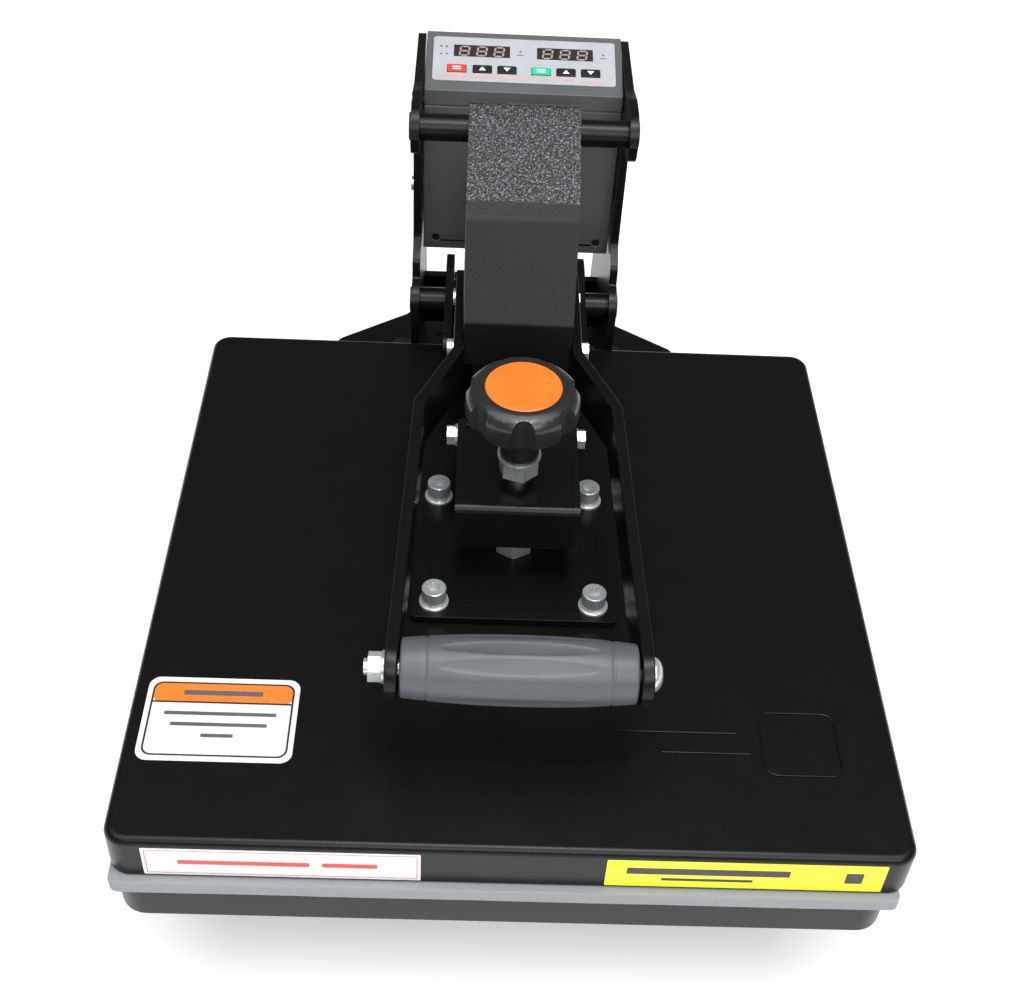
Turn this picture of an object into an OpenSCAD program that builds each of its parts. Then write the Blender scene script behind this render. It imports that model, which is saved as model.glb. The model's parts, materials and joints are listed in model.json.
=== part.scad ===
// Clamshell heat press for flat goods, built as separate named sub-parts.
// Units are mm. +Z is up and the handle side faces -Y.
// The origin is the centre of the footprint, on the table.

/* [Platens] */
// Width and depth of the heater cover
cover_w = 385; // [360:1:410]
// Height of the heater cover
cover_h = 27; // [24:1:34]
// Height of the cover's top above the table
cover_top = 125; // [115:1:140]
// Distance from the origin back to the platen centre (towards -Y)
platen_back = 100; // [90:1:110]
// Width and depth of the silicone pad
pad_w = 381; // [370:1:384]
// Thickness of the silicone pad
pad_t = 9; // [6:0.5:12]
// Width and depth of the lower platen
tray_w = 376; // [360:1:380]
// Height of the lower platen
tray_h = 19; // [12:1:24]

/* [Frame] */
// Half distance between the inner faces of the uprights
upright_in = 61; // [58:0.5:66]
// Thickness of the uprights
upright_t = 5; // [4:0.5:8]
// Radius of the two steel shafts
shaft_r = 8; // [7:0.5:10]
// Half width of the base plate
base_half = 128; // [110:1:150]

/* [Linkage] */
// Upper pivot, distance behind the platen centre
upper_y = 199.5; // [195:0.5:205]
// Upper pivot, height above the cover
upper_z = 152; // [145:0.5:160]
// Lower pivot, distance behind the platen centre
lower_y = 211; // [205:0.5:220]
// Lower pivot, height above the cover
lower_z = 20; // [15:0.5:25]
// Handle bar height
bar_h = 30; // [25:1:35]
// Handle bar thickness
bar_t = 5.8; // [4:0.1:8]

/* [Controls] */
// Half width of the control case
case_half = 60; // [55:0.5:60.5]
// Knob outer radius
knob_r = 29.5; // [25:0.5:32]

/* [Hidden] */
run_fit = 0.06;
press_fit = 0.02;
link_y1 = 95;
link_z1 = 24;
link_y2 = 140;
link_z2 = 78;
bolt_pts = [[110, 60], [165, 56]];
side_bolt = [53, 42];
arm_in = 21.3;
arm_out = 25.8;
grip_y = -129;
grip_z = 55;
grip_half = 55.9;
base_top = 18 - cover_top;
face_tilt = atan2(13, 48);
case_y0 = 238;
case_y1 = 286;
case_z0 = 42;
case_z1 = 155;
upright_out = upright_in + upright_t;
screw_x = 42.7;
screw_y = 41;
axis_y = 3;
pad_dx = -2;
pad_dy = -6.2;
tray_dx = -2.5;
tray_dy = -8;
pad_front = pad_dy - pad_w / 2;
base_rear = 2 * platen_back - pad_front;

c_black = [0.05, 0.05, 0.055];
c_zinc = [0.72, 0.73, 0.74];
c_steel = [0.8, 0.81, 0.82];
c_grey = [0.42, 0.44, 0.46];

// ---------- helpers ----------

// unit vector
function unit(v) = v / norm(v);

// points of an arc that rounds corner b between a and c
function arc_pts(a, b, c, r, n) =
  let (u = unit(a - b), v = unit(c - b), w = acos(u * v),
       p = b + u * r / tan(w / 2), q = b + v * r / tan(w / 2),
       m = b + unit(u + v) * r / sin(w / 2),
       s = atan2(p[1] - m[1], p[0] - m[0]),
       e = atan2(q[1] - m[1], q[0] - m[0]),
       d = e - s > 180 ? e - s - 360 : (e - s < -180 ? e - s + 360 : e - s))
  [for (k = [0:n]) m + r * [cos(s + d * k / n), sin(s + d * k / n)]];

function xy(p) = [p[0], p[1]];

// polygon [x, y, corner radius] with its corners rounded
function rpoly(p, n = 6) =
  [for (i = [0:len(p) - 1])
    each (p[i][2] > 0
      ? arc_pts(xy(p[(i + len(p) - 1) % len(p)]), xy(p[i]),
                xy(p[(i + 1) % len(p)]), p[i][2], n)
      : [xy(p[i])])];

// square with rounded corners, centred
function rsquare(w, d, r) =
  [[-w / 2, -d / 2, r], [w / 2, -d / 2, r], [w / 2, d / 2, r], [-w / 2, d / 2, r]];

// platen frame: origin at the centre of the cover's top face
module pf() {
  translate([0, -platen_back, cover_top]) children();
}

// extrude a side view (Y, Z) from x0 to x1
module side(x0, x1, p, n = 6) {
  translate([x0, 0, 0])
    rotate([90, 0, 90])
      linear_extrude(height = x1 - x0) polygon(rpoly(p, n));
}

// extrude a plan view (X, Y) from z0 to z1
module plan(z0, z1, p, n = 6) {
  translate([0, 0, z0])
    linear_extrude(height = z1 - z0) polygon(rpoly(p, n));
}

// cylinder along X at y, z
module xcyl(y, z, r, x0, x1, f = 48) {
  translate([x0, y, z])
    rotate([0, 90, 0]) cylinder(r = r, h = x1 - x0, $fn = f);
}

// cylinder along Z
module zcyl(x, y, r, z0, z1, f = 48) {
  translate([x, y, z0]) cylinder(r = r, h = z1 - z0, $fn = f);
}

// box from corner to corner
module box(a, b) {
  translate(a) cube(b - a);
}

// hexagon along X, af is the size across the flats
module xhex(y, z, af, x0, x1) {
  translate([x0, y, z])
    rotate([0, 90, 0]) cylinder(r = af / sqrt(3), h = x1 - x0, $fn = 6);
}

// hexagon along Z
module zhex(x, y, af, z0, z1, turn = 0) {
  translate([x, y, z0])
    rotate([0, 0, turn]) cylinder(r = af / sqrt(3), h = z1 - z0, $fn = 6);
}

// local frame of the sloping display face: Y runs up the slope, Z is its normal
module on_face() {
  pf() translate([0, case_y0, case_z1]) rotate([face_tilt, 0, 0]) children();
}

// ---------- base and uprights ----------

module base_plate() {
  color(c_black)
    difference() {
      pf() plan(base_top - 6, base_top, [
        [-base_half, -130, 14], [base_half, -130, 14],
        [base_half, 330, 8], [76, 366, 10], [60, base_rear, 8],
        [-60, base_rear, 8], [-76, 366, 10], [-base_half, 330, 8]]);
      pf() for (s = [-1, 1]) {
        for (y = [235, 315]) zcyl(s * 78, y, 4 + press_fit, base_top - 7, base_top + 1);
        for (y = [-95, 340]) zcyl(s * 50, y, 3.2, base_top - 7, base_top + 1);
      }
    }
}

module rubber_feet() {
  color([0.04, 0.04, 0.04])
    pf() for (s = [-1, 1]) for (y = [-105, 300])
      translate([s * 104, y, -cover_top])
        cylinder(r1 = 14, r2 = 17, h = 12, $fn = 48);
}

upright_side = [[197, base_top, 0], [197, 4, 4], [196, 8, 0], [196, 34.9, 14],
  [213, 35, 1.5], [214, 47, 7], [228, 56, 6], [228, 129, 8],
  [212, 136, 4], [184.6, 137, 14.8], [184.6, 167, 14.8], [216, 166, 4],
  [236, 161, 6], [302, 161, 6], [345, -60, 30], [345, base_top, 0]];

module upright(s) {
  x0 = s > 0 ? upright_in : -upright_out;
  f0 = s > 0 ? upright_out - 0.01 : -upright_out - 24;
  difference() {
    union() {
      side(x0, x0 + upright_t, upright_side);
      box([f0, 215, base_top], [f0 + 24.01, 335, base_top + 5]);
    }
    xcyl(upper_y, upper_z, shaft_r + press_fit, x0 - 1, x0 + upright_t + 1);
    xcyl(lower_y, lower_z, shaft_r + press_fit, x0 - 1, x0 + upright_t + 1);
    for (z = [75, 135]) xcyl(262, z, 2.6, x0 - 1, x0 + upright_t + 1);
    for (y = [235, 315]) zcyl(s * 78, y, 4 + press_fit, base_top - 1, base_top + 6);
    for (z = [-52, -32]) xcyl(300, z, 3.1, x0 - 1, x0 + upright_t + 1);
  }
}

module upright_left() {
  color(c_black) pf() upright(-1);
}

module upright_right() {
  color(c_black) pf() upright(1);
}

module crossbar() {
  color(c_black) pf()
    difference() {
      box([-upright_in, 297, -62], [upright_in, 303, -22]);
      for (s = [-1, 1]) for (z = [-52, -32])
        xcyl(300, z, 2.4, s * 48 - 14, s * 48 + 14);
    }
}

module upper_shaft() {
  color(c_steel) pf()
    xcyl(upper_y, upper_z, shaft_r, -upright_out - 1.2, upright_out + 1.2);
}

module lower_shaft() {
  color(c_steel) pf()
    xcyl(lower_y, lower_z, shaft_r, -upright_out - 1.2, upright_out + 1.2);
}

module frame_bolts() {
  color(c_zinc) pf() {
    for (s = [-1, 1]) for (y = [235, 315]) {
      zcyl(s * 78, y, 4, base_top - 6, base_top + 5);
      zhex(s * 78, y, 13, base_top + 5, base_top + 10.3, 30);
    }
    for (s = [-1, 1]) for (z = [-52, -32]) {
      xcyl(300, z, 2.4, s > 0 ? 48 : -upright_out, s > 0 ? upright_out : -48);
      xcyl(300, z, 5, s > 0 ? upright_out : -upright_out - 3,
           s > 0 ? upright_out + 3 : -upright_out, 24);
    }
  }
}

module platen_posts() {
  color(c_black) pf()
    for (s = [-1, 1]) for (y = [-90, 90])
      zcyl(s * 92, y, 11, base_top, -cover_h - 1 - pad_t - 4);
}

module post_nuts() {
  color(c_zinc) pf()
    for (s = [-1, 1]) for (y = [-90, 90])
      difference() {
        zhex(s * 92, y, 32, base_top, base_top + 9);
        zcyl(s * 92, y, 11 + press_fit, base_top - 1, base_top + 10);
      }
}

// ---------- lower platen and pad ----------

tray_top = -cover_h - 1 - pad_t;

module lower_platen() {
  color(c_black) pf()
    difference() {
      translate([tray_dx, tray_dy, 0])
        plan(tray_top - tray_h, tray_top, rsquare(tray_w, tray_w, 14), 8);
      translate([tray_dx, tray_dy, 0])
        plan(tray_top - tray_h - 1, tray_top - 4,
             rsquare(tray_w - 6, tray_w - 6, 11), 8);
    }
}

module silicone_pad() {
  color([0.4, 0.41, 0.42]) pf()
    translate([pad_dx, pad_dy, 0])
      plan(tray_top, tray_top + pad_t, rsquare(pad_w, pad_w, 4), 4);
}

// ---------- control case ----------

case_side = [[case_y0, case_z0, 0], [case_y0, case_z1, 0],
  [case_y1, case_z1 + 13, 0], [case_y1, case_z0, 0]];

function face_x(i) = [-41, -25.5, -10.5, 10.3, 25.5, 40.5][i];

module control_case() {
  color([0.2, 0.21, 0.22])
    difference() {
      pf() side(-case_half, case_half, case_side);
      pf() side(-case_half + 2.5, case_half - 2.5, [
        [case_y0 + 2.5, case_z0 + 2.5, 0], [case_y0 + 2.5, case_z1 - 2, 0],
        [case_y1 + 5, case_z1 + 11.7, 0], [case_y1 + 5, case_z0 + 2.5, 0]]);
      // seam between the front sheet and the head
      pf() box([-case_half - 1, case_y0 - 1, 144], [case_half + 1, case_y0 + 0.6, 144.8]);
      // front fixing holes
      pf() for (s = [-1, 1])
        translate([s * 52, case_y0 - 1, 50])
          rotate([-90, 0, 0]) cylinder(r = 2.6, h = 6, $fn = 32);
      // side fixing holes
      pf() for (z = [75, 135]) xcyl(262, z, 2.3, -case_half - 1, case_half + 1);
      // key and display openings in the sloping face
      on_face() for (i = [0:5])
        box([face_x(i) - 6, 14.7, -6], [face_x(i) + 6, 21.5, 1]);
      on_face() for (x = [-26, 25])
        box([x - 16, 30, -6], [x + 16, 38, 1]);
    }
}

module case_rear_panel() {
  color([0.16, 0.16, 0.17]) pf()
    difference() {
      box([-case_half, case_y1, case_z0], [case_half, case_y1 + 2, case_z1 + 12.9]);
      // inlet, switch, fuse and gland openings
      box([-12, case_y1 - 1, 55.5], [15.4, case_y1 + 3, 75.5]);
      box([-44.2, case_y1 - 1, 59], [-24.8, case_y1 + 3, 72]);
      translate([36, case_y1 - 1, 65.5])
        rotate([-90, 0, 0]) cylinder(r = 6.02, h = 4, $fn = 48);
      translate([36, case_y1 - 1, 95])
        rotate([-90, 0, 0]) cylinder(r = 6.02, h = 4, $fn = 48);
      // cooling slots
      for (i = [-4:4])
        box([i * 7 - 1.5, case_y1 - 1, 110], [i * 7 + 1.5, case_y1 + 3, 140]);
    }
}

module case_bolts() {
  color(c_zinc) pf()
    for (s = [-1, 1]) for (z = [75, 135]) {
      xcyl(262, z, 2.3, s > 0 ? case_half - 4 : -upright_out,
           s > 0 ? upright_out : -case_half + 4, 24);
      xcyl(262, z, 4.5, s > 0 ? upright_out : -upright_out - 2.8,
           s > 0 ? upright_out + 2.8 : -upright_out, 24);
    }
}

module face_screws() {
  color([0.05, 0.05, 0.05]) pf()
    for (s = [-1, 1])
      translate([s * 52, case_y0 + 0.9, 50]) rotate([-90, 0, 0])
        difference() {
          cylinder(r = 2.5, h = 7, $fn = 32);
          translate([0, 0, -1]) cylinder(r = 1.4, h = 2.2, $fn = 6);
        }
}

module display_panel() {
  color([0.78, 0.8, 0.82]) on_face()
    difference() {
      plan(0.02, 0.8, [[-55.8, 7.8, 2], [55.8, 7.8, 2], [55.8, 45.6, 2], [-55.8, 45.6, 2]], 4);
      for (i = [0:5])
        box([face_x(i) - 5.95, 14.75, -1], [face_x(i) + 5.95, 21.45, 2]);
      for (x = [-26, 25]) box([x - 17.2, 28.8, -1], [x + 17.2, 39, 2]);
    }
}

module display_windows() {
  color([0.1, 0.09, 0.1]) on_face()
    for (x = [-26, 25]) box([x - 17.15, 28.85, 0.02], [x + 17.15, 38.95, 0.5]);
}

module circuit_board() {
  color([0.05, 0.25, 0.1]) on_face() {
    box([-54, 10, -9.6], [54, 42, -8]);
    for (x = [-26, 25]) box([x - 15, 30.5, -8], [x + 15, 37.5, -2]);
    for (i = [0:5]) box([face_x(i) - 3, 15.1, -8], [face_x(i) + 3, 21, -4.2]);
    for (x = [-51, 51]) for (y = [12, 40]) zcyl(x, y, 2, -8, -2.6, 24);
  }
}

module power_relay() {
  color([0.1, 0.1, 0.11]) pf() {
    box([-50, 243.5, 88], [-6, 266, 112]);
    box([-52, 240.5, 84], [-4, 243.5, 116]);
  }
}

module transformer() {
  color([0.55, 0.5, 0.4]) pf() {
    box([6, 248, 44.5], [46, 274, 84]);
    box([12, 244, 50], [40, 278, 78]);
  }
}

module power_inlet() {
  color([0.03, 0.03, 0.03]) pf()
    difference() {
      union() {
        box([-11.9, case_y1 - 7, 55.6], [15.3, case_y1 + 2, 75.4]);
        box([-15, case_y1 + 2, 52], [18.4, case_y1 + 4.5, 79]);
      }
      box([-8.5, case_y1 - 5, 58.5], [11.9, case_y1 + 6, 72.5]);
    }
}

module fuse_holder() {
  color([0.05, 0.05, 0.05]) pf()
    translate([36, case_y1 - 6, 65.5]) rotate([-90, 0, 0]) {
      cylinder(r = 6, h = 8.1, $fn = 48);
      translate([0, 0, 8]) cylinder(r = 8, h = 2.5, $fn = 48);
      translate([0, 0, 10.4]) cylinder(r = 5.5, h = 6, $fn = 48);
    }
}

module case_gland() {
  color([0.06, 0.06, 0.06]) pf()
    translate([36, case_y1 - 6, 95]) rotate([-90, 0, 0])
      difference() {
        union() {
          cylinder(r = 6, h = 8, $fn = 48);
          translate([0, 0, 8]) cylinder(r = 17 / sqrt(3), h = 5, $fn = 6);
          translate([0, 0, 13]) cylinder(r1 = 8, r2 = 6, h = 7, $fn = 48);
        }
        translate([0, 0, 18]) cylinder(r = 3.2, h = 3, $fn = 48);
      }
}

module switch_housing() {
  color([0.04, 0.04, 0.04]) pf()
    difference() {
      union() {
        box([-44.1, case_y1 - 14, 59.1], [-24.9, case_y1 + 2, 71.9]);
        box([-46.5, case_y1 + 2, 57], [-22.5, case_y1 + 4, 74]);
      }
      box([-42.5, case_y1 - 8, 60.5], [-26.5, case_y1 + 6, 70.5]);
      zcyl(-34.5, case_y1 + 1.5, 1.4 + run_fit, 59.7, 71.3, 32);
    }
}

module switch_rocker() {
  color([0.45, 0.05, 0.04]) pf() {
    translate([-34.5, case_y1 + 1.5, 60.9])
      linear_extrude(height = 9.2)
        polygon([[-6.8, -3], [6.8, -3], [6.8, 2.6], [0, 4.1], [-6.8, 5.6]]);
    zcyl(-34.5, case_y1 + 1.5, 1.4, 59.9, 71.1, 32);
  }
}

// ---------- keys ----------

module key(i) {
  on_face()
    plan(-1.6, 1.5, [[face_x(i) - 5.6, 15.1, 0.6], [face_x(i) + 5.6, 15.1, 0.6],
      [face_x(i) + 5.6, 21.1, 0.6], [face_x(i) - 5.6, 21.1, 0.6]], 3);
}

module button_timer_set() {
  color([0.75, 0.12, 0.08]) key(0);
}

module button_timer_up() {
  color([0.06, 0.06, 0.07]) key(1);
}

module button_timer_down() {
  color([0.06, 0.06, 0.07]) key(2);
}

module button_temp_set() {
  color([0.05, 0.6, 0.4]) key(3);
}

module button_temp_up() {
  color([0.06, 0.06, 0.07]) key(4);
}

module button_temp_down() {
  color([0.06, 0.06, 0.07]) key(5);
}

// ---------- upper arm and handle ----------

upper_side = [[102, 54, 0], [104, 82, 4], [140, 129.5, 12], [196, 163, 0],
  [203, 166.6, 4], [214, 163, 8], [214.5, 144, 10], [198, 134, 8],
  [184, 112, 12], [176, 44, 10], [118, 44, 6], [112, 54, 4]];

upper_inner = [[108, 20, 0], [108, 80.7, 0], [142.7, 126.4, 0], [240, 184.4, 0], [240, 20, 0]];

// outline from above: narrow between the handle bars, wider above them
upper_low = [[-31.2, 90, 0], [31.2, 90, 0], [31.2, 186, 0], [32.5, 196, 0], [32.5, 230, 0],
  [-32.5, 230, 0], [-32.5, 196, 0], [-31.2, 186, 0]];
upper_high = [[-31, 90, 0], [31, 90, 0], [32.5, 149, 0], [32.5, 230, 0],
  [-32.5, 230, 0], [-32.5, 149, 0]];

module upper_arm() {
  color(c_black) pf()
    difference() {
      intersection() {
        side(-40, 40, upper_side);
        union() {
          plan(0, 72, upper_low);
          plan(72, 200, upper_high);
        }
      }
      side(-27, 27, upper_inner);
      xcyl(upper_y, upper_z, shaft_r + run_fit, -40, 40);
      // blind pockets for the link's rear pin
      xcyl(link_y2, link_z2, 5 + run_fit, -30, 30);
      for (p = bolt_pts) xcyl(p[0], p[1], 3 + press_fit, -40, 40);
    }
}

// outer face of a bar, from the rear end to the grip
bar_out = [[37.1, 190], [37.1, 98], [57.6, 50], [63.2, -150]];

module handle_bar(s) {
  intersection() {
    plan(30, 80, [
      [s * bar_out[0][0], bar_out[0][1], 0], [s * bar_out[1][0], bar_out[1][1], 9],
      [s * bar_out[2][0], bar_out[2][1], 14], [s * bar_out[3][0], bar_out[3][1], 0],
      [s * (bar_out[3][0] - bar_t), bar_out[3][1], 0],
      [s * (bar_out[2][0] - bar_t - 0.6), bar_out[2][1] - 2, 9],
      [s * (bar_out[1][0] - bar_t), bar_out[1][1] - 3, 14],
      [s * (bar_out[0][0] - bar_t), bar_out[0][1], 0]]);
    side(s > 0 ? 20 : -80, s > 0 ? 80 : -20, [
      [grip_y - 15, grip_z - bar_h / 2, bar_h / 2 - 0.05],
      [grip_y - 15, grip_z + bar_h / 2, bar_h / 2 - 0.05],
      [184, grip_z + bar_h / 2, bar_h / 2 - 0.05],
      [184, grip_z - bar_h / 2, bar_h / 2 - 0.05]], 10);
  }
}

module handle_bar_left() {
  color(c_black) pf()
    difference() {
      handle_bar(-1);
      for (p = bolt_pts) xcyl(p[0], p[1], 3 + press_fit, -40, -30);
      xcyl(grip_y, grip_z, 4 + press_fit, -70, -50);
    }
}

module handle_bar_right() {
  color(c_black) pf()
    difference() {
      handle_bar(1);
      for (p = bolt_pts) xcyl(p[0], p[1], 3 + press_fit, 30, 40);
      xcyl(grip_y, grip_z, 4 + press_fit, 50, 70);
    }
}

module bar_bolts() {
  color(c_zinc) pf() {
    for (s = [-1, 1]) for (p = bolt_pts)
      xcyl(p[0], p[1], 3, s > 0 ? 27 : -37.1, s > 0 ? 37.1 : -27);
    // domed heads on the left, nuts on the right
    for (p = bolt_pts) {
      xcyl(p[0], p[1], 5, p[0] < 150 ? -41 : -38.7, -37.1, 32);
      xhex(p[0], p[1], 10, 37.1, p[0] < 150 ? 41.6 : 38.7);
    }
  }
}

module grip_bolt() {
  color(c_zinc) pf() {
    xcyl(grip_y, grip_z, 4, -73, 63);
    translate([62.9, grip_y, grip_z]) rotate([0, 90, 0])
      rotate_extrude($fn = 48)
        polygon([[0, 0], [8.5, 0], [8.5, 1], [7.8, 2.6], [6.2, 4], [3.9, 5], [0, 5.4]]);
  }
}

module grip_nut() {
  color(c_zinc) pf()
    difference() {
      union() {
        xcyl(grip_y, grip_z, 8, -64.6, -63, 32);
        xhex(grip_y, grip_z, 13, -71.1, -64.6);
      }
      xcyl(grip_y, grip_z, 4 + press_fit, -80, -60);
    }
}

grip_prof = [[4.06, -grip_half], [13.2, -grip_half], [14, -grip_half + 0.8],
  [14.6, -44.6], [13.9, -44.2], [13.9, -43.6], [14.8, -43.2], [15.8, -34],
  [16.5, -22], [16.8, -11], [16.9, 0], [16.8, 11], [16.5, 22], [15.8, 34],
  [14.8, 43.2], [13.9, 43.6], [13.9, 44.2], [14.6, 44.6],
  [14, grip_half - 0.8], [13.2, grip_half], [4.06, grip_half]];

module grip() {
  color(c_grey) pf()
    translate([0, grip_y, grip_z]) rotate([0, 90, 0])
      rotate_extrude($fn = 72) polygon(grip_prof);
}

// ---------- toggle link ----------

link_len = norm([link_y2 - link_y1, link_z2 - link_z1]);
link_ang = atan2(link_z2 - link_z1, link_y2 - link_y1);

module toggle_link() {
  color(c_black) pf()
    difference() {
      union() {
        for (s = [-1, 1])
          translate([s > 0 ? 12 : -18, link_y1, link_z1]) rotate([link_ang, 0, 0])
            side(0, 6, [[-6.5, -6, 5.6], [link_len + 7.5, -7, 6.5],
              [link_len + 7.5, 7, 6.5], [-6.5, 6, 5.6]], 8);
        xcyl(link_y2, link_z2, 8.4, -12.1, 12.1);
      }
      xcyl(link_y2, link_z2, 5 + press_fit, -20, 20);
      xcyl(link_y1, link_z1, 4 + press_fit, -20, 20);
    }
}

module link_pins() {
  color(c_steel) pf() {
    xcyl(link_y2, link_z2, 5, -29.8, 29.8);
    xcyl(link_y1, link_z1, 4, -20, 20);
  }
}

// ---------- lower arm ----------

block_side = [[-22, 27, 1], [-22, 57, 4], [50, 57, 3], [66, 40, 4], [67, 30, 2],
  [56, 27, 4]];
rear_side = [[38, 30, 0], [38, 53.5, 0], [60, 53.5, 2], [74, 36, 6], [228, 36, 15],
  [228, 4, 15], [196, 7, 6], [76, 9, 10], [58, 30, 4]];

// front lip and top plate of the block, folded from one sheet
lip_side = [[-21.6, 28, 0.8], [-21.6, 56.7, 4], [42, 56.7, 0], [42, 52.7, 0],
  [-17.6, 52.7, 0], [-17.6, 28, 0]];

module lower_arm() {
  color(c_black) pf()
    difference() {
      union() {
        for (s = [-1, 1]) side(s > 0 ? 28.8 : -33, s > 0 ? 33 : -28.8, block_side, 8);
        side(-29.2, 29.2, lip_side, 6);
        // bulkhead and the two inner sheets that run back to the pivot
        box([-29.2, 56.5, 31], [29.2, 60.5, 50]);
        for (s = [-1, 1])
          side(s > 0 ? arm_in : -arm_out, s > 0 ? arm_out : -arm_in, rear_side, 8);
        box([-arm_in - 1, 122, 11], [arm_in + 1, 188, 15]);
      }
      zcyl(0, axis_y, 6 + run_fit, 50, 60);
      xcyl(lower_y, lower_z, shaft_r + run_fit, -40, 40);
      xcyl(side_bolt[0], side_bolt[1], 3 + press_fit, -40, 40);
    }
}

cheek_side = [[137, 8, 5], [137, 41, 8], [182, 45, 12], [204, 50, 14],
  [237, 50, 25], [237, -6, 25], [199, 0, 14], [186, 8, 8]];

module arm_cheeks() {
  color(c_black) pf()
    difference() {
      union() {
        for (s = [-1, 1]) {
          side(s > 0 ? 39 : -44, s > 0 ? 44 : -39, cheek_side, 8);
          xcyl(lower_y, lower_z, 14, s > 0 ? arm_out : -39.1, s > 0 ? 39.1 : -arm_out);
          box([s > 0 ? arm_out : -39.1, 146, 14], [s > 0 ? 39.1 : -arm_out, 176, 30]);
        }
      }
      xcyl(lower_y, lower_z, shaft_r + run_fit, -50, 50);
    }
}

module pivot_sleeve() {
  color(c_steel) pf()
    difference() {
      xcyl(lower_y, lower_z, 13, -arm_in, arm_in);
      xcyl(lower_y, lower_z, shaft_r + run_fit, -30, 30);
    }
}

module block_bolts() {
  color(c_zinc) pf()
    for (s = [-1, 1]) {
      xcyl(side_bolt[0], side_bolt[1], 3, s > 0 ? 20 : -34.2, s > 0 ? 34.2 : -20);
      xcyl(side_bolt[0], side_bolt[1], 6.4, s > 0 ? 33 : -34.4, s > 0 ? 34.4 : -33, 32);
      xhex(side_bolt[0], side_bolt[1], 10, s > 0 ? 34.4 : -39, s > 0 ? 39 : -34.4);
    }
}

module top_nut() {
  color(c_zinc) pf()
    difference() {
      zhex(0, axis_y, 19, 62.5, 73, 41);
      zcyl(0, axis_y, 6.05, 60, 75);
    }
}

module top_washer() {
  color(c_zinc) pf()
    difference() {
      zcyl(0, axis_y, 11.6, 73, 74.8);
      zcyl(0, axis_y, 6.3, 70, 76);
    }
}

// ---------- heater ----------

module mount_plate() {
  color(c_black) pf()
    difference() {
      plan(0, 5, rsquare(110, 104, 3), 4);
      for (a = [-1, 1]) for (b = [-1, 1])
        zcyl(a * screw_x, b * screw_y, 4.3, -1, 6);
      zcyl(0, axis_y, 6.6, -1, 6);
    }
}

module mount_washers() {
  color(c_zinc) pf()
    for (a = [-1, 1]) for (b = [-1, 1]) difference() {
      union() {
        zcyl(a * screw_x, b * screw_y, 8, 5, 6.6, 40);
        zcyl(a * screw_x, b * screw_y, 6.6, 6.6, 8.4, 40);
      }
      zcyl(a * screw_x, b * screw_y, 4 + press_fit, 4, 9);
    }
}

module mount_screws() {
  color(c_zinc) pf()
    for (a = [-1, 1]) for (b = [-1, 1]) difference() {
      union() {
        zcyl(a * screw_x, b * screw_y, 4, -22, 8.4, 40);
        zcyl(a * screw_x, b * screw_y, 6.5, 8.4, 16, 40);
        translate([a * screw_x, b * screw_y, 16])
          cylinder(r1 = 6.5, r2 = 6, h = 0.5, $fn = 40);
      }
      zhex(a * screw_x, b * screw_y, 6, 12, 17, 15 * a);
    }
}

module bottom_nut() {
  color(c_zinc) pf()
    difference() {
      zhex(0, axis_y, 19, 5, 15, 30);
      zcyl(0, axis_y, 6.05, 4, 16);
    }
}

module cover_solid(w, r, e, z0, z1) {
  // w is the width, r the corner radius, e the top edge radius
  hull() {
    for (a = [-1, 1]) for (b = [-1, 1])
      translate([a * (w / 2 - r), b * (w / 2 - r), 0]) {
        translate([0, 0, z0]) cylinder(r = r, h = z1 - z0 - e, $fn = 64);
        translate([0, 0, z1 - e]) rotate_extrude($fn = 64)
          polygon([for (k = [0:6]) [r - e + e * cos(k * 15), e * sin(k * 15)],
            [0, e], [0, 0]]);
      }
  }
}

module heater_cover() {
  color(c_black) pf()
    difference() {
      cover_solid(cover_w, 11, 4, -cover_h, 0);
      cover_solid(cover_w - 4, 9, 3, -cover_h - 1, -2);
      for (a = [-1, 1]) for (b = [-1, 1])
        zcyl(a * screw_x, b * screw_y, 4.3, -10, 2);
      translate([52, cover_w / 2 - 10, -11])
        rotate([-90, 0, 0]) cylinder(r = 3.52, h = 20, $fn = 48);
    }
}

module heater_plate() {
  color([0.75, 0.76, 0.77]) pf()
    difference() {
      plan(-cover_h - 0.7, -cover_h + 11.3, rsquare(379, 379, 8), 6);
      for (a = [-1, 1]) for (b = [-1, 1])
        zcyl(a * screw_x, b * screw_y, 4 + press_fit, -23, 0);
    }
}

module heating_element() {
  z = -12.1;
  color([0.55, 0.5, 0.45]) pf() {
    for (i = [0:5])
      translate([-130, -140 + 56 * i, z]) rotate([0, 90, 0])
        cylinder(r = 3.5, h = 260, $fn = 20);
    for (i = [0:4])
      translate([i % 2 == 0 ? 130 : -130, -112 + 56 * i, z])
        rotate([0, 0, i % 2 == 0 ? -90 : 90])
          rotate_extrude(angle = 180, $fn = 48)
            translate([28, 0]) circle(r = 3.5, $fn = 20);
  }
}

module insulation() {
  color([0.85, 0.82, 0.72]) pf()
    difference() {
      plan(-8.5, -2.4, rsquare(368, 368, 8), 4);
      for (a = [-1, 1]) for (b = [-1, 1])
        zcyl(a * screw_x, b * screw_y, 5, -10, 0);
    }
}

module temperature_probe() {
  color([0.7, 0.7, 0.72]) pf() {
    box([84, 164, -15.7], [108, 178, -10]);
    translate([96, 150, -12.7]) rotate([-90, 0, 0]) cylinder(r = 2.5, h = 15, $fn = 32);
  }
}

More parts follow.
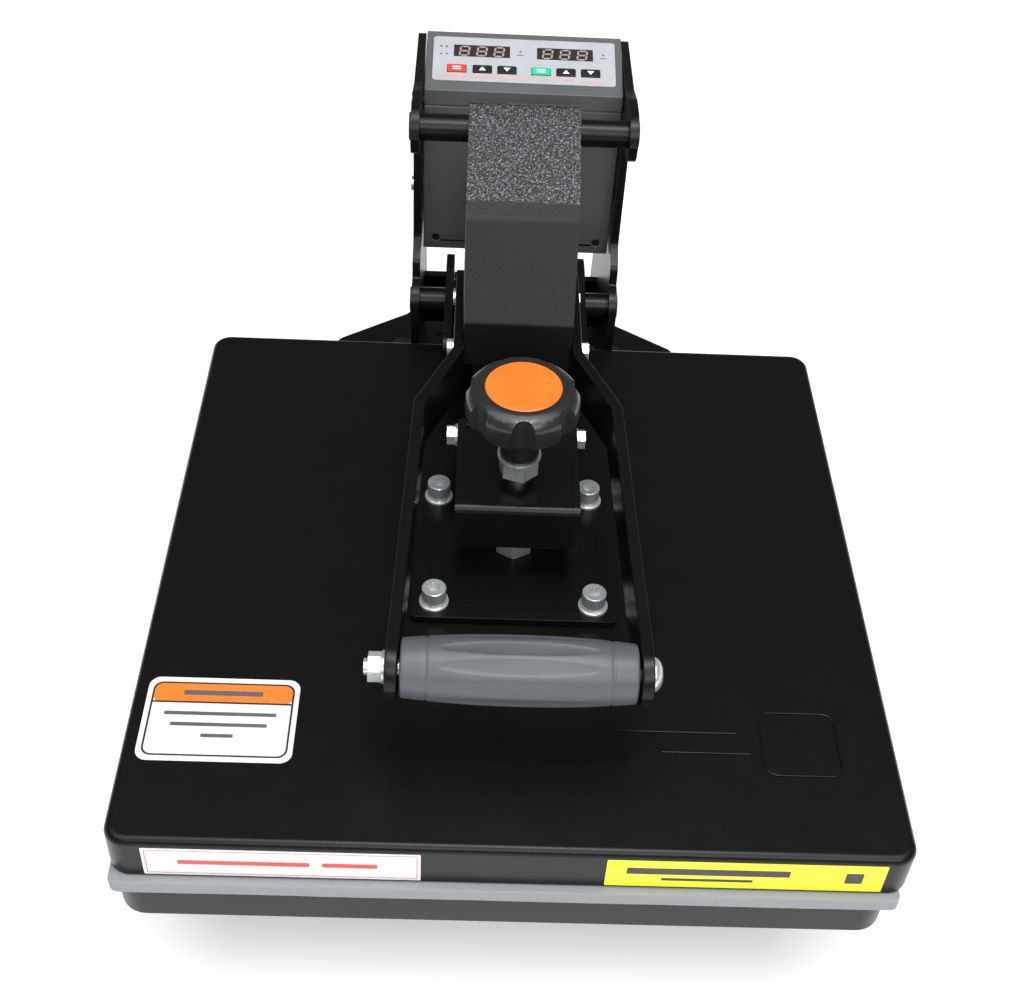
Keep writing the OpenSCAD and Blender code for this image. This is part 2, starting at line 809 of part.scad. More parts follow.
module heater_gland() {
  color([0.06, 0.06, 0.06]) pf()
    translate([52, cover_w / 2 - 6, -11]) rotate([-90, 0, 0])
      difference() {
        union() {
          cylinder(r = 3.5, h = 6.1, $fn = 48);
          translate([0, 0, 6.05]) cylinder(r = 12 / sqrt(3), h = 4, $fn = 6);
          translate([0, 0, 10]) cylinder(r1 = 5.6, r2 = 4.4, h = 6, $fn = 48);
        }
        translate([0, 0, 14]) cylinder(r = 2.4, h = 3, $fn = 48);
      }
}

// ---------- pressure screw ----------

module spindle() {
  color(c_steel) pf() zcyl(0, axis_y, 6, 5.4, 104);
}

module knob() {
  color([0.04, 0.04, 0.045]) pf() translate([0, axis_y, 0])
    difference() {
      rotate_extrude($fn = 96)
        polygon([[0, 74.8], [10.3, 74.8], [10.3, 99.5], [12, 101], [knob_r - 3, 101],
          [knob_r - 0.8, 101.8], [knob_r, 103.5], [knob_r, 112], [knob_r - 0.8, 115],
          [knob_r - 3, 117.8], [knob_r - 6.5, 119.4], [21, 119.8], [0, 119.8]]);
      for (k = [0:6])
        rotate([0, 0, -90 + k * 360 / 7])
          translate([knob_r + 2.6, 0, 80]) cylinder(r = 6.8, h = 50, $fn = 48);
      zcyl(0, 0, 6 + press_fit, 60, 104.5);
      zcyl(0, 0, 19.9, 118.8, 130);
    }
}

module knob_cap() {
  color([0.85, 0.35, 0.08]) pf()
    translate([0, axis_y, 118.8]) rotate_extrude($fn = 72)
      polygon([[0, 0], [19.7, 0], [19.7, 1], [19.1, 1.5], [0, 1.8]]);
}

// ---------- draw ----------

base_plate();
rubber_feet();
upright_left();
upright_right();
crossbar();
upper_shaft();
lower_shaft();
frame_bolts();
platen_posts();
post_nuts();
lower_platen();
silicone_pad();
control_case();
case_rear_panel();
case_bolts();
face_screws();
display_panel();
display_windows();
circuit_board();
power_relay();
transformer();
power_inlet();
fuse_holder();
case_gland();
switch_housing();
switch_rocker();
button_timer_set();
button_timer_up();
button_timer_down();
button_temp_set();
button_temp_up();
button_temp_down();
upper_arm();
handle_bar_left();
handle_bar_right();
bar_bolts();
grip_bolt();
grip_nut();
grip();
toggle_link();
link_pins();
lower_arm();
arm_cheeks();
pivot_sleeve();
block_bolts();
top_nut();
top_washer();
mount_plate();
mount_washers();
mount_screws();
bottom_nut();
heater_cover();
heater_plate();
heating_element();
insulation();
temperature_probe();
heater_gland();
spindle();
knob();
knob_cap();
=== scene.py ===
"""Looks for the clamshell heat press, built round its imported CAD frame. Metres, +Z up, handle side at -Y."""
import json
import math

import bmesh
import bpy
from mathutils import Matrix, Vector


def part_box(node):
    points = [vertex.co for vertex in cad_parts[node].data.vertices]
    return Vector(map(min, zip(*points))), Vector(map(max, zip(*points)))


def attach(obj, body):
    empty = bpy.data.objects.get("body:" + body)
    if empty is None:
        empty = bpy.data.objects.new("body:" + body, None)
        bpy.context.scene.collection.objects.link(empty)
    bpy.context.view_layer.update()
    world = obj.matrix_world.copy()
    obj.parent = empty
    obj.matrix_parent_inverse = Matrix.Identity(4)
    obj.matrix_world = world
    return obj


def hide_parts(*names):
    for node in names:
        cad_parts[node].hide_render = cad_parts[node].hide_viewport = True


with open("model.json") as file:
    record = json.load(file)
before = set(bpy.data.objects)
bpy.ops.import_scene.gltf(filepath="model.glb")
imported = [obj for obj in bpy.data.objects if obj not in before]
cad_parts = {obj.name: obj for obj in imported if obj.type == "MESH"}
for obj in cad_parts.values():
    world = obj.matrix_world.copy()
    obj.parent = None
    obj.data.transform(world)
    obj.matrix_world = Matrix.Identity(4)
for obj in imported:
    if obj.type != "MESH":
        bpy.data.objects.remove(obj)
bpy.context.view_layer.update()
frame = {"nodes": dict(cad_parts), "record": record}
nodes = frame["nodes"]
MM = 0.001

# ---------- places, from the frame and two given sizes of the display face ---

cover_lo, cover_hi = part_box("heater_cover")
COVER_TOP = cover_hi.z
COVER_FRONT = cover_lo.y
COVER_MID = Vector((0, (cover_lo.y + cover_hi.y) / 2, COVER_TOP))
FACE_RISE_MM, FACE_RUN_MM = 13, 48
FACE_TILT = math.atan2(FACE_RISE_MM, FACE_RUN_MM)
case_lo, case_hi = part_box("control_case")
KEY_BODIES = ["button_timer_set", "button_timer_up", "button_timer_down",
              "button_temp_set", "button_temp_up", "button_temp_down"]


def on_cover(x, y, z=0.0):
    """Matrix of a spot on the cover's top, x and y in mm from the platen's centre."""
    return Matrix.Translation(COVER_MID + Vector((x, y, z)) * MM)


def on_skirt(x, z, out=0.0):
    """Matrix of a spot on the cover's front skirt: local X to the right, local Y up, local Z outwards."""
    at = Vector((x * MM, COVER_FRONT - out * MM, COVER_TOP + z * MM))
    return Matrix.Translation(at) @ Matrix.Rotation(math.pi / 2, 4, "X")


def on_face(x, y, z=0.0):
    """Matrix of a spot on the sloping display face, in mm: y up the slope from its front edge, z off it."""
    corner = Vector((0, case_lo.y, case_hi.z - FACE_RISE_MM * MM))
    tilt = Matrix.Rotation(FACE_TILT, 4, "X")
    return Matrix.Translation(corner) @ tilt @ Matrix.Translation(Vector((x, y, z)) * MM)


# ---------- materials ----------

def new_material(name):
    m = bpy.data.materials.new(name)
    m.use_nodes = True
    nt = m.node_tree
    return m, nt, nt.nodes["Principled BSDF"]


def ramp(nt, source, stops):
    """Colour ramp fed by source; stops are (position, colour)."""
    r = nt.nodes.new("ShaderNodeValToRGB")
    r.color_ramp.elements[0].position, r.color_ramp.elements[0].color = stops[0][0], (*stops[0][1], 1)
    r.color_ramp.elements[1].position, r.color_ramp.elements[1].color = stops[-1][0], (*stops[-1][1], 1)
    for pos, col in stops[1:-1]:
        e = r.color_ramp.elements.new(pos)
        e.color = (*col, 1)
    nt.links.new(source, r.inputs["Fac"])
    return r.outputs["Color"]


def noise(nt, coord, scale, detail=3.0, rough=0.5, stretch=None):
    n = nt.nodes.new("ShaderNodeTexNoise")
    n.inputs["Scale"].default_value = scale
    n.inputs["Detail"].default_value = detail
    n.inputs["Roughness"].default_value = rough
    if stretch:
        mp = nt.nodes.new("ShaderNodeMapping")
        mp.inputs["Scale"].default_value = stretch
        nt.links.new(coord, mp.inputs["Vector"])
        coord = mp.outputs["Vector"]
    nt.links.new(coord, n.inputs["Vector"])
    return n.outputs["Fac"]


def bump(nt, bsdf, height, strength, distance, below=None):
    b = nt.nodes.new("ShaderNodeBump")
    b.inputs["Strength"].default_value = strength
    b.inputs["Distance"].default_value = distance
    nt.links.new(height, b.inputs["Height"])
    if below is not None:
        nt.links.new(below, b.inputs["Normal"])
    nt.links.new(b.outputs["Normal"], bsdf.inputs["Normal"])
    return b.outputs["Normal"]


def grained(name, dark, light, rough, metallic=0.0, blotch=18.0, grain=900.0, depth=0.25,
            grain_mm=0.12, stretch=None, coat=0.0, specular=0.5):
    """A finish with blotchy colour and roughness over a fine bump. dark and light are its two colours."""
    m, nt, bsdf = new_material(name)
    coord = nt.nodes.new("ShaderNodeTexCoord").outputs["Object"]
    patches = noise(nt, coord, blotch, 4.0, 0.6, stretch)
    nt.links.new(ramp(nt, patches, [(0.3, dark), (0.7, light)]), bsdf.inputs["Base Color"])
    lo, hi = rough
    nt.links.new(ramp(nt, noise(nt, coord, blotch * 6, 5.0, 0.65, stretch),
                      [(0.3, (lo,) * 3), (0.7, (hi,) * 3)]), bsdf.inputs["Roughness"])
    bsdf.inputs["Metallic"].default_value = metallic
    bsdf.inputs["Specular IOR Level"].default_value = specular
    if coat:
        bsdf.inputs["Coat Weight"].default_value = coat
        bsdf.inputs["Coat Roughness"].default_value = 0.12
    bump(nt, bsdf, noise(nt, coord, grain, 2.0, 0.5, stretch), depth, grain_mm * MM)
    return m


def hammertone_with_painted_glints(name, base, painted_glint, cell, rough, share, from_y):
    """Hammered powder coat dimples with painted highlight: bright glint specks painted into the base colour,
    only where the frame's Y passes from_y, on the part that catches the light.
    """
    m, nt, bsdf = new_material(name)
    coord = nt.nodes.new("ShaderNodeTexCoord").outputs["Object"]
    v = nt.nodes.new("ShaderNodeTexVoronoi")
    v.inputs["Scale"].default_value = cell
    nt.links.new(coord, v.inputs["Vector"])
    axes = nt.nodes.new("ShaderNodeSeparateXYZ")
    nt.links.new(coord, axes.inputs["Vector"])
    behind = nt.nodes.new("ShaderNodeMapRange")
    behind.inputs["From Min"].default_value = from_y - 4 * MM
    behind.inputs["From Max"].default_value = from_y + 4 * MM
    nt.links.new(axes.outputs["Y"], behind.inputs["Value"])
    kept = nt.nodes.new("ShaderNodeMath")
    kept.operation = "MULTIPLY"
    nt.links.new(noise(nt, coord, cell * 0.9, 3.0, 0.7), kept.inputs[0])
    nt.links.new(behind.outputs["Result"], kept.inputs[1])
    specks = kept.outputs["Value"]
    # painted highlight: the glint colour is painted into the base colour on the specks behind from_y
    nt.links.new(ramp(nt, specks, [(share, base), (share + 0.16, painted_glint)]), bsdf.inputs["Base Color"])
    nt.links.new(ramp(nt, specks, [(share, (rough,) * 3), (share + 0.1, (rough * 0.6,) * 3)]),
                 bsdf.inputs["Roughness"])
    bsdf.inputs["Specular IOR Level"].default_value = 0.25
    first = bump(nt, bsdf, v.outputs["Distance"], 0.5, 0.25 * MM)
    bump(nt, bsdf, noise(nt, coord, 1400, 2.0, 0.5), 0.2, 0.08 * MM, first)
    return m


def speckled(name, base, pale, dark, scale):
    """Grey silicone sponge: pale and dark specks with small pores."""
    m, nt, bsdf = new_material(name)
    coord = nt.nodes.new("ShaderNodeTexCoord").outputs["Object"]
    fine = noise(nt, coord, scale, 4.0, 0.75)
    nt.links.new(ramp(nt, fine, [(0.27, dark), (0.33, base), (0.64, base), (0.74, pale)]),
                 bsdf.inputs["Base Color"])
    bsdf.inputs["Roughness"].default_value = 0.82
    pores = nt.nodes.new("ShaderNodeTexVoronoi")
    pores.inputs["Scale"].default_value = scale * 0.35
    nt.links.new(coord, pores.inputs["Vector"])
    low = bump(nt, bsdf, pores.outputs["Distance"], 0.35, 0.5 * MM)
    bump(nt, bsdf, fine, 0.4, 0.2 * MM, low)
    return m


def painted_glow(name, colour, strength):
    """A printed mark or unlit display segment given a faint painted glow (emission), though it is no lamp."""
    m = grained(name, tuple(c * 0.9 for c in colour), colour, (0.35, 0.45), blotch=400, depth=0.05)
    b = m.node_tree.nodes["Principled BSDF"]
    # painted glow: emission on a mark that gives no light of its own
    b.inputs["Emission Color"].default_value = (*colour, 1)
    b.inputs["Emission Strength"].default_value = strength
    return m


ARM_FOLD_MM = 146  # the upper arm's fold, behind the platen's centre; painted glints (painted highlight) go on behind this line

MATERIALS = {
    "black_coat": grained("powder_black", (0.0028, 0.0025, 0.0023), (0.0042, 0.0037, 0.0034), (0.29, 0.33),
                          blotch=45, grain=1500, depth=0.5, grain_mm=0.1, specular=0.26),
    # painted highlight: bright glint specks on the upper arm's rear part only
    "hammertone": hammertone_with_painted_glints("hammertone_grey_painted_glints", (0.006, 0.0056, 0.0056), (0.2, 0.215, 0.24), 1000, 0.44, 0.5,
                          COVER_MID.y + ARM_FOLD_MM * MM),
    "case_coat": grained("case_powder", (0.085, 0.09, 0.094), (0.105, 0.11, 0.114), (0.42, 0.55),
                         blotch=22, grain=1900, depth=0.2),
    "zinc": grained("zinc_plate", (0.62, 0.66, 0.68), (0.76, 0.79, 0.8), (0.26, 0.34), metallic=0.7,
                    blotch=90, grain=1400, depth=0.03),
    "bright_steel": grained("turned_steel", (0.5, 0.5, 0.5), (0.72, 0.72, 0.71), (0.22, 0.42), metallic=1.0,
                            blotch=60, grain=700, depth=0.15, stretch=(1, 8, 8)),
    "foot_rubber": grained("foot_rubber", (0.012, 0.012, 0.012), (0.02, 0.02, 0.02), (0.7, 0.85)),
    "pad_silicone": speckled("silicone_sponge", (0.285, 0.3, 0.315), (0.42, 0.43, 0.44),
                             (0.09, 0.095, 0.1), 520),
    "grip_rubber": grained("grip_rubber", (0.075, 0.084, 0.093), (0.095, 0.105, 0.116), (0.38, 0.46),
                           blotch=35, grain=1600, depth=0.12),
    "black_plastic": grained("moulded_black", (0.012, 0.012, 0.012), (0.018, 0.018, 0.018), (0.26, 0.36),
                             blotch=40, grain=1800, depth=0.08, coat=0.2),
    "black_screw": grained("black_screw", (0.006, 0.006, 0.006), (0.014, 0.014, 0.014), (0.35, 0.5)),
    "label_grey": grained("label_overlay", (0.41, 0.43, 0.46), (0.46, 0.48, 0.51), (0.38, 0.48),
                          blotch=70, grain=2600, depth=0.06),
    "window_dark": grained("smoked_window", (0.03, 0.018, 0.018), (0.045, 0.028, 0.028), (0.3, 0.38),
                           blotch=60, grain=2600, depth=0.02, specular=0.25),
    "red_key": grained("red_key", (0.72, 0.04, 0.03), (0.85, 0.07, 0.05), (0.35, 0.45),
                       blotch=200, depth=0.08),
    "green_key": grained("green_key", (0.02, 0.5, 0.27), (0.04, 0.62, 0.36), (0.35, 0.45),
                         blotch=200, depth=0.08),
    "board_green": grained("circuit_laminate", (0.01, 0.11, 0.04), (0.02, 0.16, 0.06), (0.35, 0.5),
                           blotch=120),
    "winding": grained("core_and_tape", (0.34, 0.26, 0.08), (0.48, 0.38, 0.14), (0.4, 0.6), blotch=90),
    "plate_aluminium": grained("machined_aluminium", (0.6, 0.61, 0.62), (0.78, 0.78, 0.78), (0.25, 0.42),
                               metallic=1.0, blotch=14, grain=500, depth=0.12, stretch=(1, 12, 12)),
    "wool": grained("ceramic_wool", (0.62, 0.58, 0.47), (0.75, 0.71, 0.6), (0.85, 0.95),
                    blotch=120, depth=0.6),
    "orange_cap": grained("orange_disc", (0.92, 0.16, 0.012), (1.0, 0.2, 0.02), (0.4, 0.5), blotch=60,
                          grain=2200, depth=0.05),
}


def printed(name, dark, light, rough=(0.3, 0.4), **kind):
    """A printed film or ink."""
    return grained(name, dark, light, rough, depth=0.05, **kind)


LABEL_WHITE = printed("sticker_white", (0.72, 0.74, 0.76), (0.8, 0.82, 0.84), blotch=60)
LABEL_BLACK = printed("sticker_black", (0.012, 0.011, 0.016), (0.02, 0.018, 0.024))
LABEL_ORANGE = printed("sticker_orange", (0.9, 0.17, 0.02), (1.0, 0.22, 0.03))
LABEL_YELLOW = printed("sticker_yellow", (0.9, 0.82, 0.005), (1.0, 0.9, 0.01))
LABEL_RED = printed("sticker_red", (0.68, 0.04, 0.03), (0.8, 0.07, 0.05))
LABEL_INK = printed("sticker_ink", (0.08, 0.08, 0.09), (0.12, 0.12, 0.13), (0.4, 0.5))
PALE_PINK = printed("pale_red_print", (0.72, 0.28, 0.27), (0.8, 0.36, 0.35), (0.4, 0.5))
# painted glow: the unlit segments and the key marks get a faint emission though they are no lamps
SEGMENT = painted_glow("unlit_segment_painted_glow", (0.34, 0.32, 0.29), 0.15)
KEY_MARK = painted_glow("key_mark_painted_glow", (0.85, 0.87, 0.9), 0.25)


def finish_of(obj, material):
    obj.data.materials.clear()
    obj.data.materials.append(material)


for entry in frame["record"]["subparts"]:
    finish_of(nodes[entry["node"]], MATERIALS[entry["material_slot"]])

# ---------- softened edges on the CAD sheets and castings ----------

EDGE_MM = {
    "heater_cover": 0.0, "base_plate": 0.8, "upright_left": 0.6, "upright_right": 0.6, "upper_arm": 0.7,
    "handle_bar_left": 0.7, "handle_bar_right": 0.7, "lower_arm": 0.5, "arm_cheeks": 0.6, "mount_plate": 0.6,
    "control_case": 0.7, "case_rear_panel": 0.4, "lower_platen": 1.6, "crossbar": 0.6, "knob": 0.9,
    "toggle_link": 0.5, "upper_shaft": 0.7, "lower_shaft": 0.7, "top_nut": 0.4, "bottom_nut": 0.4,
    "block_bolts": 0.3, "bar_bolts": 0.3, "grip_nut": 0.35, "mount_screws": 0.25, "mount_washers": 0.2,
    "display_panel": 0.15, "post_nuts": 0.5, "rubber_feet": 0.8, "frame_bolts": 0.3,
}
for key in KEY_BODIES:
    EDGE_MM[key] = 0.25
SMALL_EDGE_MM = 0.15


def soften(o, width):
    """Welds the import's split corners, rounds the sharp edges by width and evens out the shading."""
    for shading in ("custom_normal", "sharp_face", "sharp_edge"):
        if shading in o.data.attributes:
            o.data.attributes.remove(o.data.attributes[shading])
    o.modifiers.new("weld", "WELD").merge_threshold = 2e-6
    b = o.modifiers.new("edge", "BEVEL")
    b.width = width * MM
    b.segments = 2
    b.limit_method = "ANGLE"
    b.angle_limit = math.radians(34)
    b.use_clamp_overlap = True
    o.modifiers.new("even", "WEIGHTED_NORMAL").keep_sharp = False


for name, o in nodes.items():
    soften(o, EDGE_MM.get(name, SMALL_EDGE_MM) or SMALL_EDGE_MM)

# ---------- mesh helpers ----------


def finish_piece(bm, name, material, body):
    """Makes an object of bm that rides on body."""
    me = bpy.data.meshes.new(name)
    bmesh.ops.recalc_face_normals(bm, faces=bm.faces)
    bm.to_mesh(me)
    bm.free()
    o = bpy.data.objects.new(name, me)
    bpy.context.scene.collection.objects.link(o)
    o.data.materials.append(material)
    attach(o, body)
    return o


def round_rect(w, h, r, n=6):
    """Outline of a rounded rectangle about the origin, in mm."""
    out = []
    for k, (sx, sy) in enumerate(((1, 1), (-1, 1), (-1, -1), (1, -1))):
        for i in range(n + 1):
            a = math.pi / 2 * (k + i / n)
            out.append((sx * (w / 2 - r) + r * math.cos(a), sy * (h / 2 - r) + r * math.sin(a)))
    return out


def add_slab(bm, outline, thick, place, hole=None):
    """Adds a plate of the outline, thick mm high above place's plane; hole is a like outline to cut."""
    rings = []
    for line in filter(None, (outline, hole)):
        rings.append([[bm.verts.new(place @ (Vector((x, y, z)) * MM)) for x, y in line] for z in (0, thick)])
    n = len(outline)
    for low, high in rings:
        for i in range(n):
            bm.faces.new((low[i], low[(i + 1) % n], high[(i + 1) % n], high[i]))
    if hole:
        for level in (0, 1):
            a, b = rings[0][level], rings[1][level]
            for i in range(n):
                bm.faces.new((a[i], a[(i + 1) % n], b[(i + 1) % n], b[i]))
    else:
        for level in rings[0]:
            bm.faces.new(level)


def skin(bm, rings):
    """Joins the rings in turn and closes the two ends."""
    n = len(rings[0])
    for a, b in zip(rings, rings[1:]):
        for k in range(n):
            bm.faces.new((a[k], a[(k + 1) % n], b[(k + 1) % n], b[k]))
    for ring in (rings[0], rings[-1]):
        bm.faces.new(ring)


def smooth_sides(o):
    for p in o.data.polygons:
        p.use_smooth = len(p.vertices) == 4


def shift(outline, dx, dy):
    return [(x + dx, y + dy) for x, y in outline]


def slab(name, outline, thick, place, material, body, hole=None):
    bm = bmesh.new()
    add_slab(bm, outline, thick, place, hole)
    return finish_piece(bm, name, material, body)


def slabs(name, outlines, thick, place, material, body):
    """Several plates in one piece."""
    bm = bmesh.new()
    for outline in outlines:
        add_slab(bm, outline, thick, place)
    return finish_piece(bm, name, material, body)


def disc(r, n=32):
    return [(r * math.cos(2 * math.pi * i / n), r * math.sin(2 * math.pi * i / n)) for i in range(n)]


# ---------- stickers on the heater cover: plain bands and bars, no lettering ----------

FILM, INK = 0.14, 0.03  # thickness of a skirt strip and of a print, in mm
STICKER_W, STICKER_H = 76.5, 52
STICKER_T = 0.16
BAND_H, BAND_T, LINE_H = 11.4, 0.025, 1.1
FRAME_W, FRAME_H = STICKER_W - 7, STICKER_H - 8  # inside the sticker's black border
sticker_at = on_cover(-146.7, -119.9)


def layer(place, z):
    return place @ Matrix.Translation((0, 0, z * MM))


def bars(shapes, radius):
    """Rounded bars from (width, height, x, y)."""
    return [shift(round_rect(w, h, radius), x, y) for w, h, x, y in shapes]


slab("sticker_base", round_rect(STICKER_W, STICKER_H, 6), STICKER_T, sticker_at, LABEL_WHITE, "heater")
slab("sticker_border", round_rect(FRAME_W + 2, FRAME_H + 2, 5), INK, layer(sticker_at, STICKER_T),
     LABEL_BLACK, "heater", hole=round_rect(FRAME_W, FRAME_H, 4.2))
slabs("sticker_band", bars([(FRAME_W, BAND_H, 0, (FRAME_H - BAND_H) / 2)], 2.6), BAND_T,
      layer(sticker_at, STICKER_T + 0.002), LABEL_ORANGE, "heater")
slabs("sticker_band_line", bars([(FRAME_W, LINE_H, 0, FRAME_H / 2 - BAND_H - 0.4)], 0.3), INK,
      layer(sticker_at, STICKER_T + 0.003), LABEL_BLACK, "heater")
slabs("sticker_bars", bars([(40, 3.2, 0, 16.3), (56, 2.2, 0, 3.2), (48, 2.2, 0, -3.6), (16, 2.2, 0, -10.4)],
                           0.7), INK, layer(sticker_at, 0.186), LABEL_INK, "heater")

STRIP_H, STRIP_Z = 21.4, -15.3
left_at = on_skirt(-108.8, STRIP_Z)
slab("skirt_strip_left", round_rect(131, STRIP_H, 0.6), FILM, left_at, LABEL_WHITE, "heater")
slab("skirt_strip_left_frame", round_rect(128, 18.6, 0.8), INK, layer(left_at, FILM), LABEL_RED, "heater",
     hole=round_rect(127.2, 17.8, 0.5))
slabs("skirt_strip_left_bars", bars([(62, 3.4, -18, 0), (26, 3.4, 32, 0)], 0.8), INK,
      layer(left_at, FILM), LABEL_RED, "heater")
right_at = on_skirt(111.2, STRIP_Z)
slab("skirt_strip_right", round_rect(133.5, STRIP_H, 0.6), FILM, right_at, LABEL_YELLOW, "heater")
slabs("skirt_strip_right_bars", bars([(78, 5.2, -18, 2.2), (44, 2.2, -18, -4.4), (8.5, 8.5, 52, 0)], 0.8),
      INK, layer(right_at, FILM), LABEL_BLACK, "heater")

# ---------- plain raised lines pressed in the cover ----------

EMBOSS_H, EMBOSS_EDGE = 0.7, 0.5
coat = MATERIALS["black_coat"]
raised = [slab("pressed_frame", round_rect(40, 40, 7, 8), EMBOSS_H, on_cover(144, -125.5), coat, "heater",
               hole=round_rect(37.4, 37.4, 5.8, 8)),
          slabs("pressed_lines", bars([(62, 2.2, 82, -119.5), (46, 2.2, 96, -132)], 1.05), EMBOSS_H,
                on_cover(0, 0), coat, "heater")]
for o in raised:
    b = o.modifiers.new("edge", "BEVEL")
    b.width, b.segments = EMBOSS_EDGE * MM, 2
    b.limit_method = "ANGLE"

# ---------- display face ----------

PANEL_TOP = 0.8
WINDOW_TOP = 0.5
WINDOWS = (-26, 25)
KEY_X = (-41, -25.5, -10.5, 10.3, 25.5, 40.5)
KEY_Y, KEY_TOP = 18.1, 1.5
DIGIT_W, DIGIT_H, DIGIT_STEP, BAR = 5.4, 7.6, 10.6, 1.1


def segment(length, x, y, upright, slant=0.12):
    """Six-cornered bar of a seven-segment digit."""
    a, b = length / 2, BAR / 2
    pts = [(-a, 0), (-a + b, -b), (a - b, -b), (a, 0), (a - b, b), (-a + b, b)]
    if upright:
        pts = [(-v, u) for u, v in pts]
    return [(x + u + slant * (y + v), y + v) for u, v in pts]


def digit(cx, cy):
    w, h = DIGIT_W / 2, DIGIT_H / 2
    bars = [segment(DIGIT_W - 1, 0, y, False) for y in (-h, 0, h)]
    bars += [segment(h - 0.4, x, y, True) for x in (-w, w) for y in (-h / 2, h / 2)]
    return [shift(s, cx, cy) for s in bars]


for side, wx in zip(("left", "right"), WINDOWS):
    digits = [s for k in (-1, 0, 1) for s in digit(wx + k * DIGIT_STEP, 33.9)]
    slabs("digits_" + side, digits, 0.05, on_face(0, 0, WINDOW_TOP), SEGMENT, "stand")

face_top = on_face(0, 0, PANEL_TOP)
slabs("indicator_dots", [shift(disc(0.75, 16), x, y) for x, y in
                         ((-51, 37), (-51, 30.5), (-47.6, 37), (-47.6, 30.5), (-2.5, 34.5), (48.5, 34.5))],
      INK, face_top, LABEL_INK, "stand")
slabs("indicator_bars", bars([(4.2, 0.7, -2.5, 31.6), (4.2, 0.7, 48.5, 31.6)], 0.2), INK, face_top,
      LABEL_INK, "stand")
slabs("red_stripe", bars([(84, 1.1, -11, 11.6), (12, 1.1, 40, 10.2)], 0.5), INK, face_top, PALE_PINK, "stand")

TRIANGLE = [(-2.1, -1.5), (2.1, -1.5), (0, 1.6)]
for k, (body, kx) in enumerate(zip(KEY_BODIES, KEY_X)):
    top = on_face(kx, KEY_Y, KEY_TOP)
    if k in (0, 3):
        marks = [shift(round_rect(5.4, 0.8, 0.2), 0, y) for y in (-0.9, 0.9)]
    else:
        flip = 1 if k in (1, 4) else -1
        marks = [[(x * flip, y * flip) for x, y in TRIANGLE]]
    slabs(body + "_mark", marks, 0.05, top, KEY_MARK, body)

# ---------- grip with lens-shaped flutes, in place of the plain CAD grip ----------

grip_lo, grip_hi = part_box("grip")
grip_mid = (grip_lo + grip_hi) / 2
GRIP_HALF = (grip_hi.x - grip_lo.x) / 2 / MM
GRIP_R = (grip_hi.z - grip_lo.z) / 2 / MM
GRIP_END_R, END_ROUND = 14.2, 1.2
COLLAR, GROOVE_DEEP, GROOVE_HALF = 12.2, 0.7, 0.45
FLUTE_HALF, FLUTES, FLUTE_DEEP, FLUTE_SHARE = 38, 10, 1.0, 0.8
GRIP_AROUND, GRIP_ALONG = 200, 150


def grip_radius(x, angle):
    """Grip radius in mm at x from its middle."""
    barrel = GRIP_R - (GRIP_R - GRIP_END_R) * (abs(x) / GRIP_HALF) ** 2.2
    from_groove = abs(abs(x) - (GRIP_HALF - COLLAR))
    barrel -= GROOVE_DEEP * math.exp(-(from_groove / GROOVE_HALF) ** 2)
    to_end = GRIP_HALF - abs(x)
    if to_end < END_ROUND:
        barrel -= END_ROUND - math.sqrt(max(0.0, END_ROUND ** 2 - (END_ROUND - to_end) ** 2))
    if abs(x) < FLUTE_HALF:
        half = 0.5 * math.sqrt(1 - (abs(x) / FLUTE_HALF) ** 2)
        turn = (angle / (2 * math.pi) * FLUTES) % 1 - 0.5
        reach = half * FLUTE_SHARE
        if abs(turn) < reach:
            barrel -= FLUTE_DEEP * math.cos(turn / reach * math.pi / 2) ** 0.6 * min(1, half * 2.2)
    return barrel


def build_grip():
    """A barrel of rings, closer together near its ends."""
    bm = bmesh.new()
    rings = []
    for i in range(GRIP_ALONG + 1):
        t = i / GRIP_ALONG
        x = GRIP_HALF * math.sin((t - 0.5) * math.pi) * 0.35 + GRIP_HALF * (2 * t - 1) * 0.65
        rings.append([])
        for k in range(GRIP_AROUND):
            a = 2 * math.pi * k / GRIP_AROUND
            r = grip_radius(x, a)
            rings[-1].append(bm.verts.new(grip_mid + Vector((x, r * math.cos(a), r * math.sin(a))) * MM))
    skin(bm, rings)
    o = finish_piece(bm, "fluted_grip", MATERIALS["grip_rubber"], "grip")
    smooth_sides(o)
    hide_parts("grip")


build_grip()

# ---------- silicone sponge pad, in place of its CAD slab ----------

pad_lo, pad_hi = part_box("silicone_pad")
PAD_CORNER, CORNER_STEPS, SIDE_STEPS = 4, 8, 64
PAD_INSET, PAD_RAGGED = 0.55, 0.3


def pad_outline(w, d):
    """Rounded rectangle with many points along its sides, in mm."""
    signs = ((1, 1), (-1, 1), (-1, -1), (1, -1))

    def corner_point(k, part):
        sx, sy = signs[k % 4]
        a = math.pi / 2 * (k + part)
        return (sx * (w / 2 - PAD_CORNER) + PAD_CORNER * math.cos(a),
                sy * (d / 2 - PAD_CORNER) + PAD_CORNER * math.sin(a))

    outline = []
    for k in range(4):
        outline += [corner_point(k, i / CORNER_STEPS) for i in range(CORNER_STEPS + 1)]
        x0, y0 = outline[-1]
        x1, y1 = corner_point(k + 1, 0)
        outline += [(x0 + (x1 - x0) * i / SIDE_STEPS, y0 + (y1 - y0) * i / SIDE_STEPS)
                    for i in range(1, SIDE_STEPS)]
    return outline


